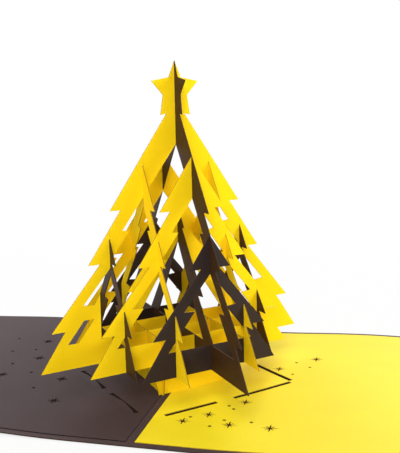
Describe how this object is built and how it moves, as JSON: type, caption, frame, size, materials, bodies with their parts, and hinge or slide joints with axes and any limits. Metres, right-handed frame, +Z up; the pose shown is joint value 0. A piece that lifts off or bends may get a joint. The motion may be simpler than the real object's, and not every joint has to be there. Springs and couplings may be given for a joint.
{
  "type": "pop up card",
  "caption": "Square folded greeting card lying open, with a standing tree of half-lapped paper sheets topped by a star, over a dark and a yellow liner.",
  "frame": {"origin": "on the table under the middle of the spine, at the bottom centre of the open card", "axes": "+X to the right across the open card, +Y along the spine to the back, +Z up"},
  "size_m": [0.3, 0.15, 0.1438],
  "materials": {
    "cover_card": "matte",
    "dark_liner_paper": "matte",
    "yellow_liner_paper": "matte",
    "yellow_tree_paper": "matte",
    "dark_tree_paper": "matte"
  },
  "bodies": {
    "root": {"cover": "cover_card", "dark_liner": "dark_liner_paper", "yellow_liner": "yellow_liner_paper", "yellow_star_sheet": "yellow_tree_paper", "yellow_sheet_front": "yellow_tree_paper", "yellow_sheet_back": "yellow_tree_paper", "yellow_sheet_left": "yellow_tree_paper", "yellow_sheet_right": "yellow_tree_paper", "dark_star_sheet": "dark_tree_paper", "dark_sheet_front": "dark_tree_paper", "dark_sheet_back": "dark_tree_paper", "dark_sheet_left": "dark_tree_paper", "dark_sheet_right": "dark_tree_paper"}
  },
  "joints": []
}
